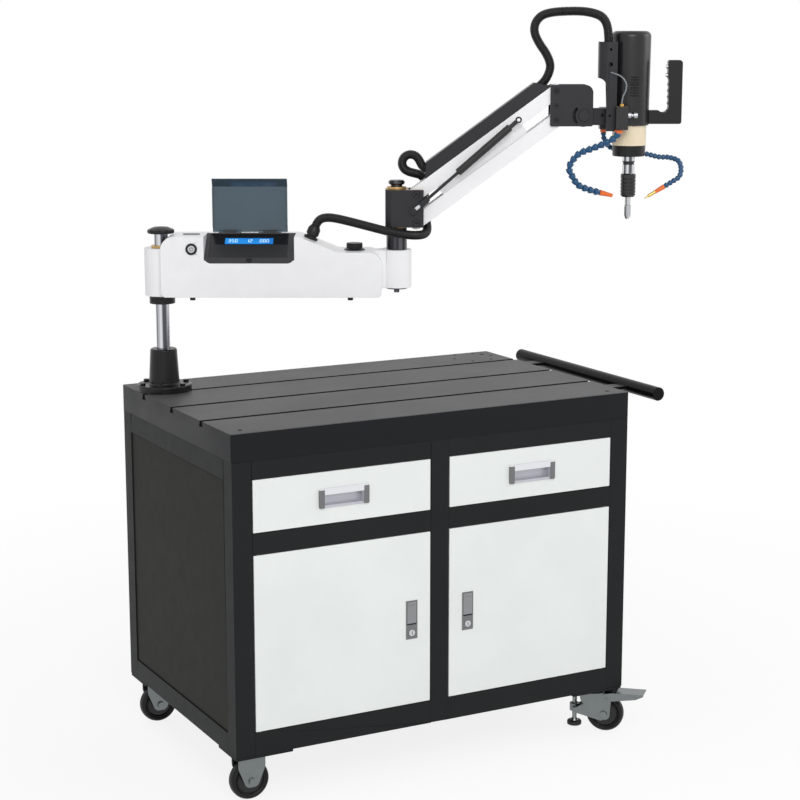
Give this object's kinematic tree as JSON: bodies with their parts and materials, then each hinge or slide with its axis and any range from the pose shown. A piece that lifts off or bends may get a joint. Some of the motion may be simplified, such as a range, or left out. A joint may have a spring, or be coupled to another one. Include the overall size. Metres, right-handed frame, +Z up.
{
  "type": "arm tapping machine",
  "caption": "Wheeled steel bench with a T-slot table, drawers and doors, carrying a column-mounted articulated arm with a vertical electric tapping head.",
  "frame": {"origin": "on the floor, under the middle of the whole machine with its arm as stored", "axes": "+Z up; +X along the table from the column's end to the push handle; +Y from the drawer fronts to the back"},
  "size_m": [1.2326, 0.8189, 1.8735],
  "materials": {
    "cast_grey": "ground top, painted skirt",
    "frame_black": "fine textured dark grey paint",
    "panel_black": "matt dark grey paint",
    "black_metal": "satin black",
    "zinc": "zinc plated",
    "bright": "polished",
    "black_plastic": "matt",
    "housing_white": "satin white paint",
    "steel": "satin",
    "screen": "lit blue",
    "smoked": "clear smoked",
    "beige_paint": "satin beige",
    "aluminium": "machined",
    "hose_blue": "blue with orange nuts",
    "clear_tube": "translucent",
    "front_grey": "satin light grey paint",
    "wheel_nylon": "dark grey nylon",
    "rubber": "matt"
  },
  "bodies": {
    "bench": {"table_top": "cast_grey", "cabinet_frame": "frame_black", "cabinet_panels": "panel_black", "caster_mounts": "frame_black", "push_handle": "black_metal", "fixed_forks": "zinc", "column_base": "black_metal", "column": "bright", "column_knob": "black_plastic"},
    "height_collars": {"column_collars": "black_metal"},
    "rear_arm": {"arm_housing": "housing_white", "elbow_barrel": "housing_white", "elbow_shaft": "steel", "screen_bezel": "black_plastic", "screen_display": "screen", "cable_gland": "black_plastic", "conduit_lower": "black_plastic"},
    "cover": {"screen_cover": "smoked"},
    "power": {"power_button": "bright"},
    "speed_knob": {"control_knob": "black_plastic"},
    "elbow": {"elbow_block": "black_metal", "conduit_loop": "black_plastic"},
    "upper_arm": {"upper_link": "housing_white", "cable_cover": "black_metal", "conduit_upper": "black_plastic"},
    "lower_arm": {"lower_link": "housing_white"},
    "spring_tube": {"gas_cylinder": "black_metal"},
    "spring_rod": {"gas_rod": "bright"},
    "head_clevis": {"head_bracket": "black_metal", "conduit_head": "black_plastic"},
    "head": {"head_carrier": "black_metal", "motor": "black_metal", "motor_nose": "beige_paint", "head_handle": "black_plastic", "coolant_valves": "aluminium", "coolant_hoses": "hose_blue", "air_tube": "clear_tube"},
    "spindle_shaft": {"spindle": "steel", "tap": "bright"},
    "chuck": {"chuck_sleeve": "steel"},
    "trigger_upper": {"grip_button_upper": "bright"},
    "trigger_lower": {"grip_button_lower": "bright"},
    "drawer_left": {"drawer_left": "front_grey", "drawer_pull_left": "black_plastic"},
    "door_left": {"door_left": "front_grey"},
    "latch_left": {"door_latch_left": "black_plastic"},
    "drawer_right": {"drawer_right": "front_grey", "drawer_pull_right": "black_plastic"},
    "door_right": {"door_right": "front_grey"},
    "latch_right": {"door_latch_right": "black_plastic"},
    "roller_front_left": {"wheel_front_left": "wheel_nylon"},
    "roller_rear_left": {"wheel_rear_left": "wheel_nylon"},
    "roller_front_right": {"wheel_front_right": "wheel_nylon"},
    "roller_rear_right": {"wheel_rear_right": "wheel_nylon"},
    "swivel_front": {"swivel_fork_front": "zinc"},
    "pedal_front": {"brake_pedal_front": "zinc"},
    "foot_front": {"levelling_foot_front": "rubber"},
    "swivel_rear": {"swivel_fork_rear": "zinc"},
    "pedal_rear": {"brake_pedal_rear": "zinc"},
    "foot_rear": {"levelling_foot_rear": "rubber"}
  },
  "joints": [
    {"name": "column_height", "type": "slide", "parent": "bench", "child": "height_collars", "axis": [0, 0, 1], "range_m": [-0.09, 0.002]},
    {"name": "arm_swing", "type": "hinge", "parent": "height_collars", "child": "rear_arm", "pos_m": [-0.5435, 0.242, 0.91], "axis": [0, 0, 1], "range_deg": [-140, 140]},
    {"name": "screen_cover_hinge", "type": "hinge", "parent": "rear_arm", "child": "cover", "pos_m": [-0.52509, 0.27638, 1.312], "axis": [0.8816, -0.4721, 0], "range_deg": [0, 112]},
    {"name": "power_press", "type": "slide", "parent": "rear_arm", "child": "power", "axis": [0.4721, 0.8816, 0], "range_m": [0, 0.002], "stiffness_N_per_m": 400},
    {"name": "speed_knob_turn", "type": "hinge", "parent": "rear_arm", "child": "speed_knob", "pos_m": [-0.11242, 0.01115, 0.91], "axis": [0, 0, 1], "range_deg": [-135, 135]},
    {"name": "elbow_swing", "type": "hinge", "parent": "rear_arm", "child": "elbow", "pos_m": [-0.01854, -0.03913, 0.91], "axis": [0, 0, 1], "range_deg": [-110, 110], "deforming": ["conduit_lower"]},
    {"name": "link_lift", "type": "hinge", "parent": "elbow", "child": "upper_arm", "pos_m": [0.02466, -0.06226, 1.4126], "axis": [-0.4721, -0.8816, 0], "range_deg": [-45, 18], "deforming": ["conduit_loop"]},
    {"name": "lower_link_follow", "type": "hinge", "parent": "elbow", "child": "lower_arm", "pos_m": [0.02466, -0.06226, 1.3411], "axis": [-0.4721, -0.8816, 0], "range_deg": [-45, 18]},
    {"name": "head_level", "type": "hinge", "parent": "upper_arm", "child": "head_clevis", "pos_m": [0.33063, -0.22612, 1.66728], "axis": [-0.4721, -0.8816, 0], "range_deg": [-18, 45], "deforming": ["conduit_upper"]},
    {"name": "spring_swing", "type": "hinge", "parent": "upper_arm", "child": "spring_tube", "pos_m": [0.24755, -0.18162, 1.59812], "axis": [-0.4721, -0.8816, 0], "range_deg": [-2.5, 4.5]},
    {"name": "spring_stroke", "type": "slide", "parent": "spring_tube", "child": "spring_rod", "axis": [-0.6649, 0.356, -0.6567], "range_m": [-0.028, 0.012]},
    {"name": "head_tilt", "type": "hinge", "parent": "head_clevis", "child": "head", "pos_m": [0.39128, -0.2586, 1.60758], "axis": [-0.4721, -0.8816, 0], "range_deg": [-40, 20], "deforming": ["conduit_head"]},
    {"name": "spindle_turn", "type": "hinge", "parent": "head", "child": "spindle_shaft", "pos_m": [0.49407, -0.31364, 0.91], "axis": [0, 0, 1], "continuous": true},
    {"name": "chuck_release", "type": "slide", "parent": "spindle_shaft", "child": "chuck", "axis": [0, 0, 1], "range_m": [-0.008, 0.0005], "stiffness_N_per_m": 1200},
    {"name": "trigger_upper_press", "type": "slide", "parent": "head", "child": "trigger_upper", "axis": [0.8816, -0.4721, 0], "range_m": [0, 0.003], "stiffness_N_per_m": 400},
    {"name": "trigger_lower_press", "type": "slide", "parent": "head", "child": "trigger_lower", "axis": [0.8816, -0.4721, 0], "range_m": [0, 0.003], "stiffness_N_per_m": 400},
    {"name": "drawer_left_slide", "type": "slide", "parent": "bench", "child": "drawer_left", "axis": [0, -1, 0], "range_m": [0, 0.38]},
    {"name": "door_left_hinge", "type": "hinge", "parent": "bench", "child": "door_left", "pos_m": [-0.549, -0.343, 0.4], "axis": [0, 0, 1], "range_deg": [-110, 0]},
    {"name": "latch_left_lift", "type": "hinge", "parent": "door_left", "child": "latch_left", "pos_m": [-0.143, -0.346, 0.3927], "axis": [1, 0, 0], "range_deg": [0, 40], "stiffness_Nm_per_rad": 0.06, "springref_deg": -5.73},
    {"name": "drawer_right_slide", "type": "slide", "parent": "bench", "child": "drawer_right", "axis": [0, -1, 0], "range_m": [0, 0.38]},
    {"name": "door_right_hinge", "type": "hinge", "parent": "bench", "child": "door_right", "pos_m": [0.421, -0.343, 0.4], "axis": [0, 0, 1], "range_deg": [0, 110]},
    {"name": "latch_right_lift", "type": "hinge", "parent": "door_right", "child": "latch_right", "pos_m": [0.015, -0.346, 0.3927], "axis": [1, 0, 0], "range_deg": [0, 40], "stiffness_Nm_per_rad": 0.06, "springref_deg": -5.73},
    {"name": "wheel_front_left_roll", "type": "hinge", "parent": "bench", "child": "roller_front_left", "pos_m": [-0.559, -0.295, 0.049], "axis": [0, 1, 0], "continuous": true},
    {"name": "wheel_rear_left_roll", "type": "hinge", "parent": "bench", "child": "roller_rear_left", "pos_m": [-0.559, 0.305, 0.049], "axis": [0, 1, 0], "continuous": true},
    {"name": "swivel_front_turn", "type": "hinge", "parent": "bench", "child": "swivel_front", "pos_m": [0.431, -0.295, 0.049], "axis": [0, 0, 1], "continuous": true},
    {"name": "wheel_front_right_roll", "type": "hinge", "parent": "swivel_front", "child": "roller_front_right", "pos_m": [0.45504, -0.31904, 0.049], "axis": [0.7071, 0.7071, 0], "continuous": true},
    {"name": "pedal_front_press", "type": "hinge", "parent": "swivel_front", "child": "pedal_front", "pos_m": [0.45928, -0.32328, 0.092], "axis": [0.7071, 0.7071, 0], "range_deg": [-3, 8]},
    {"name": "foot_front_screw", "type": "slide", "parent": "swivel_front", "child": "foot_front", "axis": [0, 0, 1], "range_m": [-0.012, 0.008]},
    {"name": "swivel_rear_turn", "type": "hinge", "parent": "bench", "child": "swivel_rear", "pos_m": [0.431, 0.305, 0.049], "axis": [0, 0, 1], "continuous": true},
    {"name": "wheel_rear_right_roll", "type": "hinge", "parent": "swivel_rear", "child": "roller_rear_right", "pos_m": [0.45779, 0.32593, 0.049], "axis": [-0.6157, 0.788, 0], "continuous": true},
    {"name": "pedal_rear_press", "type": "hinge", "parent": "swivel_rear", "child": "pedal_rear", "pos_m": [0.46252, 0.32963, 0.092], "axis": [-0.6157, 0.788, 0], "range_deg": [-3, 8]},
    {"name": "foot_rear_screw", "type": "slide", "parent": "swivel_rear", "child": "foot_rear", "axis": [0, 0, 1], "range_m": [-0.012, 0.008]}
  ],
  "couplings": [
    {"joint": "lower_link_follow", "follows": "link_lift", "ratio": 1},
    {"joint": "head_level", "follows": "link_lift", "ratio": -1},
    {"joint": "spring_swing", "follows": "link_lift", "ratio": -0.07},
    {"joint": "spring_stroke", "follows": "link_lift", "m_per_rad": 0.0315}
  ]
}
